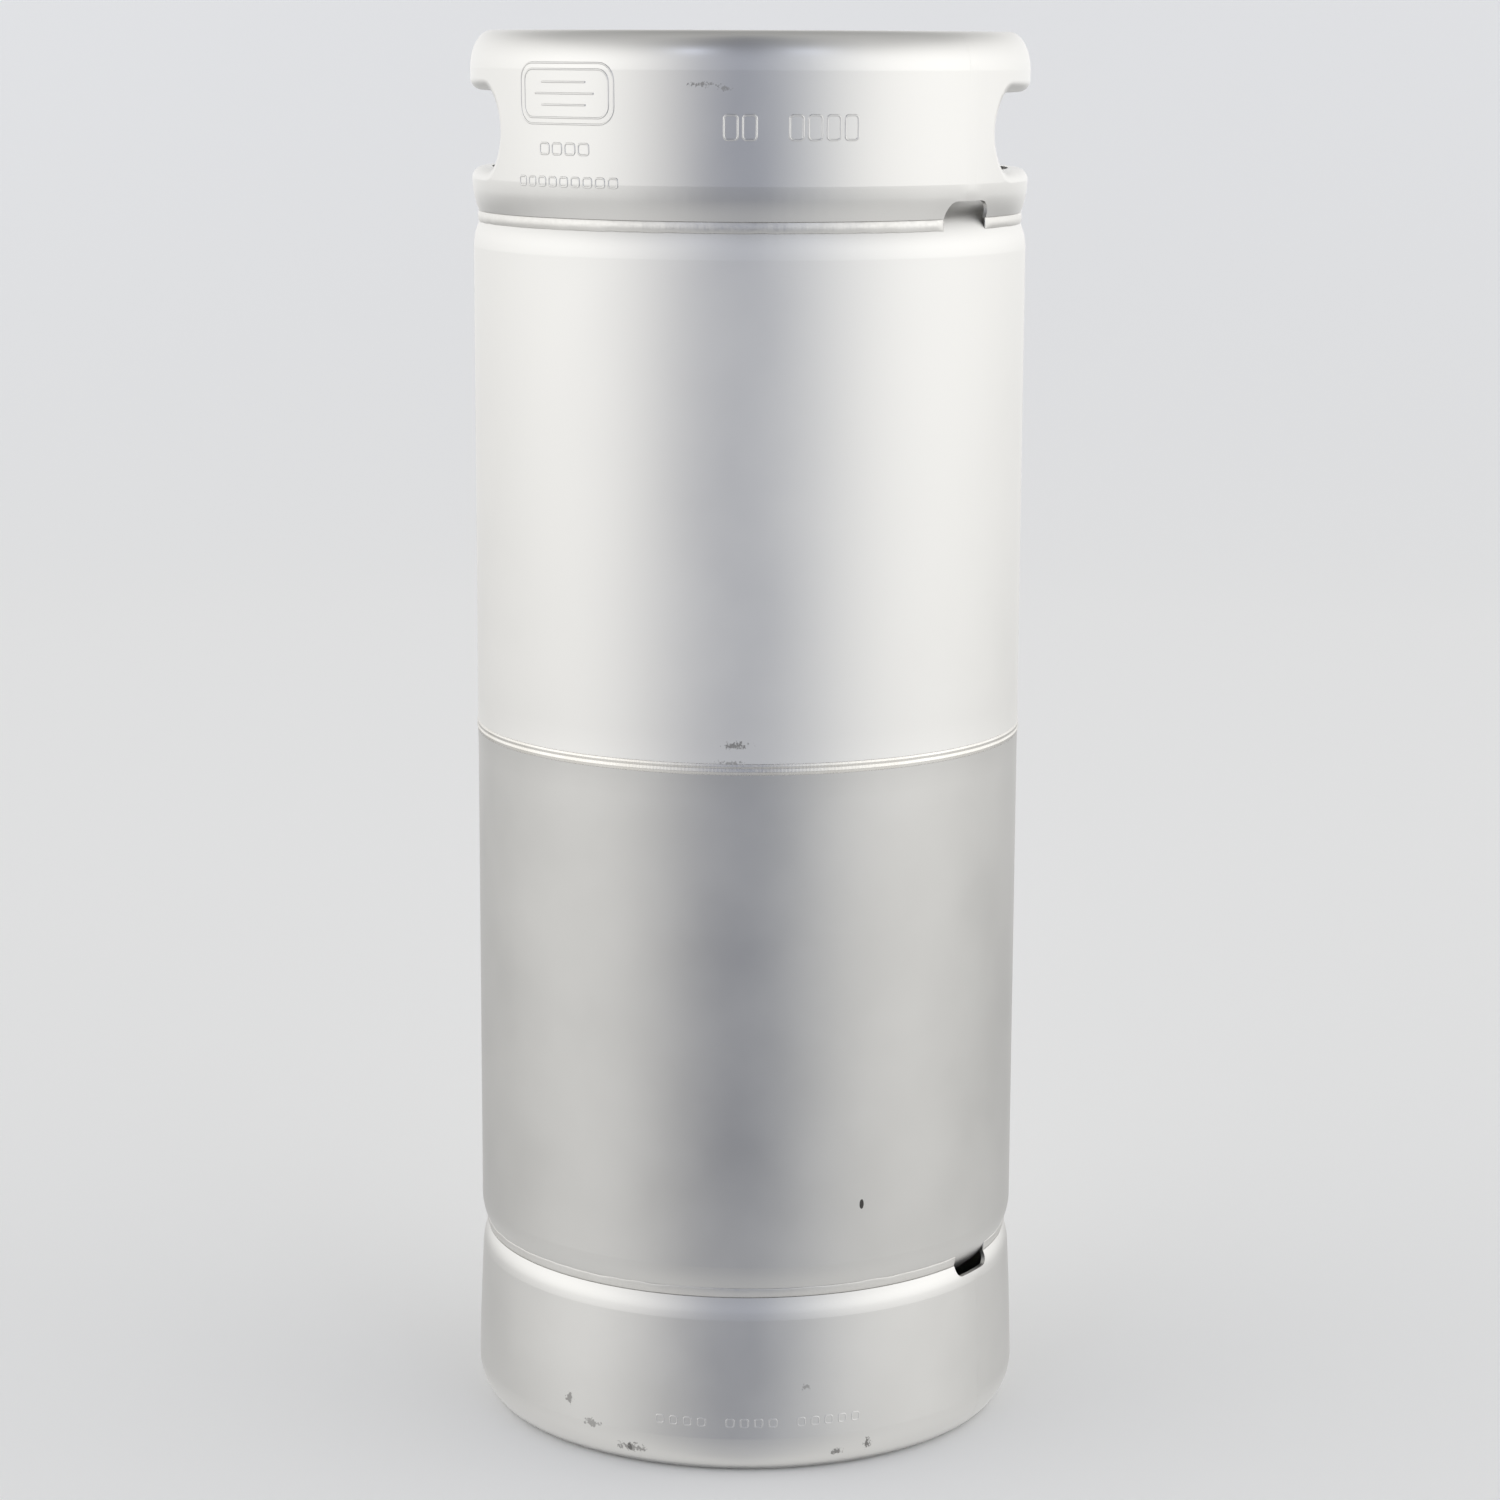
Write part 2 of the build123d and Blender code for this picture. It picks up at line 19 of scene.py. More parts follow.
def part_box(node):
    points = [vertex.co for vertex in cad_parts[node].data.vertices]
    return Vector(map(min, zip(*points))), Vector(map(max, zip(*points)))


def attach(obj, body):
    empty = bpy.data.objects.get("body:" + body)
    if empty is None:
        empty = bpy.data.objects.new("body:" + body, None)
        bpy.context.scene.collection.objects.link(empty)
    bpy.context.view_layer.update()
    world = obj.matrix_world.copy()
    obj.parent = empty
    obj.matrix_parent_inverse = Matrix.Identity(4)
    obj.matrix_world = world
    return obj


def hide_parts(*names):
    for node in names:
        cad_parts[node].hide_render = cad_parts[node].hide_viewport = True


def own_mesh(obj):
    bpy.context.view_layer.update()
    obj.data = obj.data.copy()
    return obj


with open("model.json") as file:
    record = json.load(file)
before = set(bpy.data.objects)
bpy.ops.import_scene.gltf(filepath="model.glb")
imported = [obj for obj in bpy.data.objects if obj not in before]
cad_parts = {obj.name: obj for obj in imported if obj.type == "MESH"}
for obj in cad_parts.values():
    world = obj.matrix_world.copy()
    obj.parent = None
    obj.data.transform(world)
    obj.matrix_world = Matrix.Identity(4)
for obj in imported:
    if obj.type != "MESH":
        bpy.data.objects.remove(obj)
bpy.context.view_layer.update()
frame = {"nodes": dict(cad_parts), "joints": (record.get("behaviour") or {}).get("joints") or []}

MM = 0.001
LOG = logging.getLogger("keg")

Point2 = tuple[float, float]


# --------------------------------------------------------------------------- small helpers
def linear(hex_colour: str) -> tuple[float, float, float, float]:
    """Turn an sRGB hex colour into the linear colour that shaders take.

    Args:
        hex_colour: six hex digits, such as "C8C7C4".

    Returns:
        Linear red, green, blue and an alpha of 1.
    """
    parts = [int(hex_colour[i:i + 2], 16) / 255 for i in (0, 2, 4)]
    return tuple(c / 12.92 if c <= 0.04045 else ((c + 0.055) / 1.055) ** 2.4 for c in parts) + (1.0,)


def per_metre(size_mm: float) -> float:
    """The texture scale whose features are about this many millimetres across."""
    return 1000.0 / size_mm


def add_node(
    tree: bpy.types.NodeTree,
    kind: str,
    settings: dict | None = None,
    links: dict | None = None,
) -> bpy.types.Node:
    """Add a shader node with its settings and what feeds it.

    Args:
        tree: the node tree to add to.
        kind: the node's type, such as "ShaderNodeTexNoise".
        settings: values by socket name or number, or by the node's own attribute name.
        links: output sockets by the name or number of the input that they feed.

    Returns:
        The new node.
    """
    node = tree.nodes.new(kind)
    for key, value in (settings or {}).items():
        if isinstance(key, int) or key in node.inputs:
            node.inputs[key].default_value = value
        else:
            setattr(node, key, value)
    for key, source in (links or {}).items():
        tree.links.new(source, node.inputs[key])
    return node


def on_circle(radius: float, azimuth: float, z: float) -> Vector:
    """The point at a radius and height, in any one unit, at an azimuth in degrees."""
    a = math.radians(azimuth)
    return Vector((radius * math.sin(a), -radius * math.cos(a), z))


def azimuth_of(point: Vector) -> float:
    """A point's azimuth in degrees, from -180 to 180."""
    return math.degrees(math.atan2(point.x, -point.y))


def smooth_step(value: float) -> float:
    """Ease a value from 0 to 1, held at both ends."""
    t = min(max(value, 0.0), 1.0)
    return t * t * (3 - 2 * t)


def mesh_piece(name: str, vertices: Sequence[Vector], faces: Sequence[Sequence[int]]) -> bpy.types.Object:
    """Make one smooth-shaded mesh object in the scene.

    Args:
        name: the piece's name.
        vertices: its points in metres.
        faces: its faces, as point numbers.

    Returns:
        The new object.
    """
    mesh = bpy.data.meshes.new(name)
    mesh.from_pydata([tuple(v) for v in vertices], [], [tuple(f) for f in faces])
    mesh.validate()
    mesh.polygons.foreach_set("use_smooth", [True] * len(mesh.polygons))
    mesh.update()
    piece = bpy.data.objects.new(name, mesh)
    bpy.context.scene.collection.objects.link(piece)
    return piece


def sweep(sections: Sequence[Sequence[Vector]], closed: bool) -> tuple[list[Vector], list[list[int]]]:
    """Skin a row of equal closed sections, with caps at the ends of an open row.

    Args:
        sections: the sections in order, each a loop of points.
        closed: whether the last section joins the first.

    Returns:
        The points and faces of the skin.
    """
    count, size = len(sections), len(sections[0])
    vertices = [point for section in sections for point in section]
    faces = []
    for i in range(count if closed else count - 1):
        here, there = i * size, (i + 1) % count * size
        for j in range(size):
            k = (j + 1) % size
            faces.append([here + j, here + k, there + k, there + j])
    if not closed:
        faces.append(list(reversed(range(size))))
        faces.append([(count - 1) * size + j for j in range(size)])
    return vertices, faces


class Skin:
    """The outer face of one CAD node, found by azimuth and height."""

    def __init__(self, node: str) -> None:
        """Read the node's mesh.

        Args:
            node: the CAD node's name.
        """
        mesh = frame["nodes"][node].data
        self.tree = BVHTree.FromPolygons(
            [v.co.copy() for v in mesh.vertices], [list(p.vertices) for p in mesh.polygons]
        )

    def at(self, azimuth: float, z: float) -> tuple[Vector, Vector]:
        """The outer point and its outward direction.

        Args:
            azimuth: degrees from the front towards +X.
            z: height in metres.

        Returns:
            The point, and the outward unit direction there.
        """
        start = on_circle(0.2, azimuth, z)
        inward = Vector((-start.x, -start.y, 0)).normalized()
        point, normal, _, _ = self.tree.ray_cast(start, inward)
        if point is None:
            raise ValueError(f"nothing at azimuth {azimuth:.1f}, height {z:.4f}")
        return point, normal if normal.dot(inward) < 0 else -normal

    def radius(self, azimuth: float, z: float) -> float:
        """The outer radius in metres at an azimuth and a height in metres."""
        point, _ = self.at(azimuth, z)
        return math.hypot(point.x, point.y)


# -------------------------------------------------------------------------------- finishes
class Mark(Enum):
    """What a mark of wear is."""

    SPECKS = "dark grains pressed into the surface"
    CHIP = "one dark nick with a sharp edge"
    SCUFF = "a rubbed patch, darker and duller"


@dataclass(frozen=True)
class Wear:
    """One mark of wear, by where its middle is and how far it reaches, in mm."""

    kind: Mark
    azimuth: float
    height: float
    radius: float
    half_width: float
    half_height: float
    depth: float = 0.6


@dataclass(frozen=True)
class SatinStainless:
    """304 stainless sheet, cold rolled, formed and then pickled.

    Pickling leaves a fine, even, matt-grey etch: the sheet reflects broad soft bands
    with no sharp image, slightly cloudy where the acid bit unevenly.
    """

    name: str
    light: str = "D3D2CF"
    dark: str = "C8C7C4"
    roughness: float = 0.36
    cloud_mm: float = 60.0
    grain_mm: float = 0.9
    line_mm: float = 1.6
    line_stretch: float = 60.0
    lines_upright: bool = True
    wear: tuple[Wear, ...] = ()

    def make(self) -> bpy.types.Material:
        """Build the material.

        Returns:
            The material, with its colour, roughness and bump from object coordinates.
        """
        material = bpy.data.materials.new(self.name)
        material.use_nodes = True
        tree = material.node_tree
        tree.nodes.clear()
        place = add_node(tree, "ShaderNodeTexCoord").outputs["Object"]
        clouds = add_node(
            tree, "ShaderNodeTexNoise",
            {"Scale": per_metre(self.cloud_mm), "Detail": 4.0, "Roughness": 0.55},
            {"Vector": place},
        ).outputs["Fac"]
        grain = add_node(
            tree, "ShaderNodeTexNoise",
            {"Scale": per_metre(self.grain_mm), "Detail": 2.0, "Roughness": 0.6},
            {"Vector": place},
        ).outputs["Fac"]
        across, along = per_metre(self.line_mm), per_metre(self.line_mm * self.line_stretch)
        stretch = (across, across, along) if self.lines_upright else (along, along, across)
        line_place = add_node(
            tree, "ShaderNodeMapping", {"Scale": stretch}, {"Vector": place}
        ).outputs["Vector"]
        lines = add_node(
            tree, "ShaderNodeTexNoise", {"Scale": 1.0, "Detail": 3.0, "Roughness": 0.6},
            {"Vector": line_place},
        ).outputs["Fac"]
        colour = add_node(
            tree, "ShaderNodeMix",
            {"data_type": "RGBA", 6: linear(self.dark), 7: linear(self.light)}, {0: clouds},
        ).outputs[2]
        dull = add_node(
            tree, "ShaderNodeMapRange",
            {"From Min": 0.3, "From Max": 0.7,
             "To Min": self.roughness - 0.03, "To Max": self.roughness + 0.04},
            {"Value": clouds},
        ).outputs["Result"]
        for mark in self.wear:
            colour, dull = self._worn(tree, place, mark, colour, dull)
        height = add_node(
            tree, "ShaderNodeMath", {"operation": "MULTIPLY_ADD", 1: 0.6}, {0: lines, 2: grain}
        ).outputs["Value"]
        bump = add_node(
            tree, "ShaderNodeBump", {"Strength": 0.22, "Distance": 0.02 * MM}, {"Height": height}
        ).outputs["Normal"]
        shader = add_node(
            tree, "ShaderNodeBsdfPrincipled", {"Metallic": 1.0},
            {"Base Color": colour, "Roughness": dull, "Normal": bump},
        )
        add_node(tree, "ShaderNodeOutputMaterial", {}, {"Surface": shader.outputs["BSDF"]})
        return material

    def _worn(
        self,
        tree: bpy.types.NodeTree,
        place: bpy.types.NodeSocket,
        mark: Wear,
        colour: bpy.types.NodeSocket,
        dull: bpy.types.NodeSocket,
    ) -> tuple[bpy.types.NodeSocket, bpy.types.NodeSocket]:
        """Lay one mark of wear over the sheet.

        Args:
            tree: the material's node tree.
            place: the object coordinates.
            mark: the mark.
            colour: the colour so far.
            dull: the roughness so far.

        Returns:
            The colour and the roughness with the mark on them.
        """
        middle = on_circle(mark.radius, mark.azimuth, mark.height) * MM
        turned = add_node(
            tree, "ShaderNodeMapping",
            {"vector_type": "TEXTURE", "Location": middle,
             "Rotation": (0, 0, math.radians(mark.azimuth)),
             "Scale": (mark.half_width * MM, 6 * MM, mark.half_height * MM)},
            {"Vector": place},
        ).outputs["Vector"]
        away = add_node(
            tree, "ShaderNodeVectorMath", {"operation": "LENGTH"}, {0: turned}
        ).outputs["Value"]
        grit_mm = {Mark.SPECKS: 1.1, Mark.CHIP: 2.2, Mark.SCUFF: 1.6}[mark.kind]
        grit = add_node(
            tree, "ShaderNodeTexNoise",
            {"Scale": per_metre(grit_mm), "Detail": 3.0, "Roughness": 0.65}, {"Vector": place},
        ).outputs["Fac"]
        edge = {Mark.SPECKS: 0.66, Mark.CHIP: 0.10, Mark.SCUFF: 0.60}[mark.kind]
        inside = add_node(
            tree, "ShaderNodeMapRange",
            {"From Min": 1.0, "From Max": 0.0, "To Min": 0.0, "To Max": 1.0}, {"Value": away},
        ).outputs["Result"]
        summed = add_node(
            tree, "ShaderNodeMath", {"operation": "MULTIPLY_ADD", 1: 0.35}, {0: inside, 2: grit}
        ).outputs["Value"]
        if mark.kind is Mark.CHIP:
            summed = add_node(
                tree, "ShaderNodeMath", {"operation": "MULTIPLY_ADD", 1: 0.25},
                {0: grit, 2: inside},
            ).outputs["Value"]
            edge = 0.22
        shape = add_node(
            tree, "ShaderNodeMapRange",
            {"From Min": edge, "From Max": edge + 0.07, "To Min": 0.0, "To Max": mark.depth},
            {"Value": summed},
        ).outputs["Result"]
        within = add_node(
            tree, "ShaderNodeMath", {"operation": "LESS_THAN", 1: 1.0}, {0: away}
        ).outputs["Value"]
        amount = add_node(
            tree, "ShaderNodeMath", {"operation": "MULTIPLY"}, {0: shape, 1: within}
        ).outputs["Value"]
        tint = {Mark.SPECKS: "45423E", Mark.CHIP: "2A2725", Mark.SCUFF: "7C7A77"}[mark.kind]
        colour = add_node(
            tree, "ShaderNodeMix", {"data_type": "RGBA", 7: linear(tint)}, {0: amount, 6: colour}
        ).outputs[2]
        dull = add_node(
            tree, "ShaderNodeMix", {"data_type": "FLOAT", 3: 0.62}, {0: amount, 2: dull}
        ).outputs[0]
        return colour, dull


@dataclass(frozen=True)
class WeldMetal:
    """Stainless weld bead, fused by a turning arc and then pickled.

    The skin is smoother than the sheet beside it, so it glints, with a faint ripple
    across the bead and a trace of straw tint that pickling has left.
    """

    name: str = "pickled_weld_bead"
    bright: str = "DAD9D6"
    straw: str = "C9C5BC"
    roughness: float = 0.27
    ripple_mm: float = 1.3

    def make(self) -> bpy.types.Material:
        """Build the material.

        Returns:
            The material.
        """
        material = bpy.data.materials.new(self.name)
        material.use_nodes = True
        tree = material.node_tree
        tree.nodes.clear()
        place = add_node(tree, "ShaderNodeTexCoord").outputs["Object"]
        tint = add_node(
            tree, "ShaderNodeTexNoise", {"Scale": per_metre(18.0), "Detail": 3.0}, {"Vector": place}
        ).outputs["Fac"]
        ripple = add_node(
            tree, "ShaderNodeTexNoise", {"Scale": per_metre(self.ripple_mm), "Detail": 2.0},
            {"Vector": place},
        ).outputs["Fac"]
        colour = add_node(
            tree, "ShaderNodeMix",
            {"data_type": "RGBA", 6: linear(self.straw), 7: linear(self.bright)}, {0: tint},
        ).outputs[2]
        dull = add_node(
            tree, "ShaderNodeMapRange",
            {"From Min": 0.3, "From Max": 0.7,
             "To Min": self.roughness - 0.05, "To Max": self.roughness + 0.08},
            {"Value": ripple},
        ).outputs["Result"]
        bump = add_node(
            tree, "ShaderNodeBump", {"Strength": 0.35, "Distance": 0.05 * MM}, {"Height": ripple}
        ).outputs["Normal"]
        shader = add_node(
            tree, "ShaderNodeBsdfPrincipled", {"Metallic": 1.0},
            {"Base Color": colour, "Roughness": dull, "Normal": bump},
        )
        add_node(tree, "ShaderNodeOutputMaterial", {}, {"Surface": shader.outputs["BSDF"]})
        return material


@dataclass(frozen=True)
class TurnedStainless:
    """Stainless bar, turned on a lathe.

    The tool leaves fine rings round the axis, which catch the light as thin arcs.
    """

    name: str
    colour: str = "D0CFCC"
    roughness: float = 0.24
    feed_mm: float = 0.8

    def make(self) -> bpy.types.Material:
        """Build the material.

        Returns:
            The material, with rings round the +Z axis.
        """
        material = bpy.data.materials.new(self.name)
        material.use_nodes = True
        tree = material.node_tree
        tree.nodes.clear()
        place = add_node(tree, "ShaderNodeTexCoord").outputs["Object"]
        rings = add_node(
            tree, "ShaderNodeTexWave",
            {"wave_type": "RINGS", "rings_direction": "Z", "Scale": per_metre(self.feed_mm) / 6.3,
             "Distortion": 0.6, "Detail": 2.0, "Detail Scale": 0.4},
            {"Vector": place},
        ).outputs["Fac"]
        patches = add_node(
            tree, "ShaderNodeTexNoise", {"Scale": per_metre(9.0), "Detail": 3.0}, {"Vector": place}
        ).outputs["Fac"]
        dull = add_node(
            tree, "ShaderNodeMapRange",
            {"From Min": 0.3, "From Max": 0.7,
             "To Min": self.roughness - 0.04, "To Max": self.roughness + 0.08},
            {"Value": patches},
        ).outputs["Result"]
        bump = add_node(
            tree, "ShaderNodeBump", {"Strength": 0.25, "Distance": 0.02 * MM}, {"Height": rings}
        ).outputs["Normal"]
        shader = add_node(
            tree, "ShaderNodeBsdfPrincipled",
            {"Metallic": 1.0, "Base Color": linear(self.colour)},
            {"Roughness": dull, "Normal": bump},
        )
        add_node(tree, "ShaderNodeOutputMaterial", {}, {"Surface": shader.outputs["BSDF"]})
        return material


@dataclass(frozen=True)
class DrawnWire:
    """302 stainless spring wire, drawn through a die.

    Drawing leaves it bright, with faint scratches and a slightly darker skin.
    """

    name: str = "drawn_spring_wire"
    colour: str = "B9B8B6"
    roughness: float = 0.22

    def make(self) -> bpy.types.Material:
        """Build the material.

        Returns:
            The material.
        """
        material = bpy.data.materials.new(self.name)
        material.use_nodes = True
        tree = material.node_tree
        tree.nodes.clear()
        place = add_node(tree, "ShaderNodeTexCoord").outputs["Object"]
        scratches = add_node(
            tree, "ShaderNodeTexNoise", {"Scale": per_metre(0.5), "Detail": 3.0}, {"Vector": place}
        ).outputs["Fac"]
        dull = add_node(
            tree, "ShaderNodeMapRange",
            {"From Min": 0.3, "From Max": 0.7,
             "To Min": self.roughness - 0.05, "To Max": self.roughness + 0.1},
            {"Value": scratches},
        ).outputs["Result"]
        bump = add_node(
            tree, "ShaderNodeBump", {"Strength": 0.15, "Distance": 0.02 * MM},
            {"Height": scratches},
        ).outputs["Normal"]
        shader = add_node(
            tree, "ShaderNodeBsdfPrincipled",
            {"Metallic": 1.0, "Base Color": linear(self.colour)},
            {"Roughness": dull, "Normal": bump},
        )
        add_node(tree, "ShaderNodeOutputMaterial", {}, {"Surface": shader.outputs["BSDF"]})
        return material


@dataclass(frozen=True)
class LappedSteel:
    """Hardened stainless ball, lapped to a mirror, with hair-fine wear."""

    name: str = "lapped_ball_steel"
    colour: str = "D6D6D6"
    roughness: float = 0.08

    def make(self) -> bpy.types.Material:
        """Build the material.

        Returns:
            The material.
        """
        material = bpy.data.materials.new(self.name)
        material.use_nodes = True
        tree = material.node_tree
        tree.nodes.clear()
        place = add_node(tree, "ShaderNodeTexCoord").outputs["Object"]
        hairs = add_node(
            tree, "ShaderNodeTexNoise", {"Scale": per_metre(1.5), "Detail": 5.0}, {"Vector": place}
        ).outputs["Fac"]
        dull = add_node(
            tree, "ShaderNodeMapRange",
            {"From Min": 0.35, "From Max": 0.75,
             "To Min": self.roughness, "To Max": self.roughness + 0.12},
            {"Value": hairs},
        ).outputs["Result"]
        shader = add_node(
            tree, "ShaderNodeBsdfPrincipled",
            {"Metallic": 1.0, "Base Color": linear(self.colour)}, {"Roughness": dull},
        )
        add_node(tree, "ShaderNodeOutputMaterial", {}, {"Surface": shader.outputs["BSDF"]})
        return material


@dataclass(frozen=True)
class MouldedRubber:
    """Black food-grade nitrile rubber, compression moulded.

    It is nearly black with a soft sheen, a little dusty in patches, and takes the fine
    texture of the mould.
    """

    name: str = "moulded_nitrile_rubber"
    black: str = "1B1B1C"
    dusty: str = "2B2A29"
    roughness: float = 0.5

    def make(self) -> bpy.types.Material:
        """Build the material.

        Returns:
            The material.
        """
        material = bpy.data.materials.new(self.name)
        material.use_nodes = True
        tree = material.node_tree
        tree.nodes.clear()
        place = add_node(tree, "ShaderNodeTexCoord").outputs["Object"]
        dust = add_node(
            tree, "ShaderNodeTexNoise", {"Scale": per_metre(6.0), "Detail": 4.0}, {"Vector": place}
        ).outputs["Fac"]
        texture = add_node(
            tree, "ShaderNodeTexNoise", {"Scale": per_metre(0.5), "Detail": 2.0}, {"Vector": place}
        ).outputs["Fac"]
        colour = add_node(
            tree, "ShaderNodeMix",
            {"data_type": "RGBA", 6: linear(self.black), 7: linear(self.dusty)}, {0: dust},
        ).outputs[2]
        dull = add_node(
            tree, "ShaderNodeMapRange",
            {"From Min": 0.3, "From Max": 0.7,
             "To Min": self.roughness - 0.06, "To Max": self.roughness + 0.1},
            {"Value": dust},
        ).outputs["Result"]
        bump = add_node(
            tree, "ShaderNodeBump", {"Strength": 0.3, "Distance": 0.03 * MM}, {"Height": texture}
        ).outputs["Normal"]
        shader = add_node(
            tree, "ShaderNodeBsdfPrincipled", {},
            {"Base Color": colour, "Roughness": dull, "Normal": bump},
        )
        add_node(tree, "ShaderNodeOutputMaterial", {}, {"Surface": shader.outputs["BSDF"]})
        return material


def dress(piece: bpy.types.Object, material: bpy.types.Material) -> None:
    """Give a piece one material in place of whatever it had.

    Args:
        piece: the object.
        material: its material.
    """
    piece.data.materials.clear()
    piece.data.materials.append(material)


def dress_node(node: str, material: bpy.types.Material) -> None:
    """Give a CAD node a better material in each of its slots.

    Args:
        node: the CAD node's name.
        material: its material.
    """
    piece = frame["nodes"][node]
    if not piece.material_slots:
        piece.data.materials.append(material)
    for slot in piece.material_slots:
        slot.material = material
    LOG.info("%s: dressed in %s", node, material.name)


# --------------------------------------------------------------------------- sub-assemblies
@dataclass
class Tank:
    """The two deep-drawn shells and the girth weld between them."""

    ridge_mm: float = 0.3
    wander_mm: float = 0.12
    ripple_mm: float = 1.5
    ripple_height_mm: float = 0.025
    steps: int = 1440

    def dress_shells(self) -> None:
        """Dress both shells in drawn sheet, each with its own wear; the upper shell's colours are painted
        lighter and the lower's painted darker, as painted light and shade on what is one finish.
        """
        upper = SatinStainless(
            "drawn_pickled_sheet_upper_painted_lighter",
            # painted light: these colours are lighter than the lower shell's, though both shells are one
            # finish
            light="DFDEDB",
            dark="D5D4D1",
            roughness=0.47,
            wear=(
                Wear(Mark.SPECKS, -2.2, 310.7, 116.5, 8.0, 2.4, 0.6),
                Wear(Mark.SPECKS, -3.5, 303.6, 116.7, 8.0, 1.6, 0.45),
            ),
        )
        lower = SatinStainless(
            "drawn_pickled_sheet_lower_painted_darker",
            # painted shade: these colours are darker than the upper shell's, though both shells are one
            # finish
            light="CBCAC7",
            dark="C0BFBC",
            roughness=0.37,
            wear=(
                Wear(Mark.CHIP, 24.4, 115.6, 116.5, 1.1, 2.4, 0.9),
            ),
        )
        dress_node("upper_shell", upper.make())
        dress_node("lower_shell", lower.make())

    def build_girth_weld(self, weld: bpy.types.Material) -> None:
        """Build the girth weld: two ridges with a groove between, rippled by the arc.

        Args:
            weld: the weld's material.
        """
        low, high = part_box("mid_seam_weld")
        middle = (low.z + high.z) / 2
        half = (high.z - low.z) / 2
        foot = high.x - (self.ridge_mm + 0.1) * MM
        sections = []
        for i in range(self.steps):
            azimuth = 360 * i / self.steps
            along = math.radians(azimuth) * high.x / MM
            wobble = self.wander_mm * noise.noise(on_circle(9.0, azimuth, 0.0))
            ripple = self.ripple_height_mm * math.sin(2 * math.pi * along / self.ripple_mm)
            loop = []
            for j in range(17):
                t = -1 + j / 8
                narrow = 0.62 * math.exp(-((t - 0.52) / 0.2) ** 2)
                wide = 0.95 * math.exp(-((t + 0.42) / 0.3) ** 2)
                rise = (narrow + wide) * (self.ridge_mm + 0.3 * wobble) + ripple * (1 - t * t)
                edge = 1 - abs(t) ** 6
                z = middle + (t * half) + wobble * 0.4 * MM
                loop.append(on_circle(foot + rise * edge * MM, azimuth, z))
            loop.append(on_circle(foot - 0.4 * MM, azimuth, middle + half * 0.9))
            loop.append(on_circle(foot - 0.4 * MM, azimuth, middle - half * 0.9))
            sections.append(loop)
        piece = mesh_piece("girth_weld_bead", *sweep(sections, closed=True))
        dress(piece, weld)
        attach(piece, "keg")
        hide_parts("mid_seam_weld")
        LOG.info("girth_weld_bead: built")


@dataclass
class RingWeld:
    """The fillet weld between a chime and the tank, in runs that stop at the slots."""

    node: str
    shell: str
    chime: str
    name: str
    step_mm: float = 0.4
    ripple_mm: float = 1.4
    ripple_height_mm: float = 0.014
    toe_wander: float = 0.07
    end_taper_mm: float = 5.0

    def runs(self) -> list[tuple[float, float]]:
        """The stretches of azimuth that the CAD weld covers, in degrees."""
        points = frame["nodes"][self.node].data.vertices
        angles = sorted({round(azimuth_of(v.co), 2) for v in points})
        gaps = [(a, b) for a, b in zip(angles, angles[1:]) if b - a > 4]
        wrap = [] if angles[0] + 360 - angles[-1] <= 4 else [(angles[-1], angles[0] + 360)]
        gaps += wrap
        return [(gaps[i][1], gaps[(i + 1) % len(gaps)][0] + (360 if i + 1 == len(gaps) else 0))
                for i in range(len(gaps))]

    def build(self, weld: bpy.types.Material) -> None:
        """Build the bead's runs as one piece.

        Args:
            weld: the weld's material.
        """
        low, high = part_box(self.node)
        shell, chime = Skin(self.shell), Skin(self.chime)
        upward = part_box(self.chime)[0].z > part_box(self.shell)[0].z
        toe_z, edge_z = (low.z, high.z) if upward else (high.z, low.z)
        outside = 0.4 * MM if upward else -0.4 * MM
        toe_r = shell.radius(0, toe_z)
        edge_r = chime.radius(0, edge_z + outside) - 0.35 * MM
        crest = max(math.hypot(v.co.x, v.co.y) for v in frame["nodes"][self.node].data.vertices)
        bulge = crest - (toe_r + edge_r) / 2
        vertices: list[Vector] = []
        faces: list[list[int]] = []
        for start, end in self.runs():
            length = math.radians(end - start) * toe_r / MM
            count = int(length / self.step_mm)
            sections = []
            for i in range(count + 1):
                azimuth = start + (end - start) * i / count
                along = length * i / count
                taper = smooth_step(along / self.end_taper_mm) * smooth_step(
                    (length - along) / self.end_taper_mm
                )
                wobble = noise.noise(on_circle(14.0, azimuth, edge_z * 50))
                fine = noise.noise(on_circle(70.0, azimuth, edge_z * 70))
                toe = toe_z + (edge_z - toe_z) * (0.02 + self.toe_wander * wobble)
                loop = []
                for j in range(13):
                    t = j / 12
                    chevron = along / self.ripple_mm + 0.9 * (2 * t - 1) ** 2
                    ripple = self.ripple_height_mm * math.sin(2 * math.pi * chevron)
                    swell = math.sin(math.pi * t) ** 0.75
                    rise = swell * (bulge / MM * (0.72 + 0.2 * wobble + 0.06 * fine) + ripple)
                    radius = toe_r + (edge_r - toe_r) * t + (rise * (0.25 + 0.75 * taper)) * MM
                    loop.append(on_circle(radius, azimuth, toe + (edge_z - toe) * t))
                inner_z = toe_z + (edge_z - toe_z) * 0.5
                loop.append(on_circle(edge_r - 0.8 * MM, azimuth, edge_z))
                loop.append(on_circle(edge_r - 0.4 * MM, azimuth, inner_z))
                loop.append(on_circle(toe_r - 0.3 * MM, azimuth, toe))
                sections.append(loop)
            points, skins = sweep(sections, closed=False)
            offset = len(vertices)
            vertices += points
            faces += [[k + offset for k in face] for face in skins]
        piece = mesh_piece(self.name, vertices, faces)
        dress(piece, weld)
        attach(piece, "keg")
        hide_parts(self.node)
        LOG.info("%s: built in %d runs", self.name, len(self.runs()))


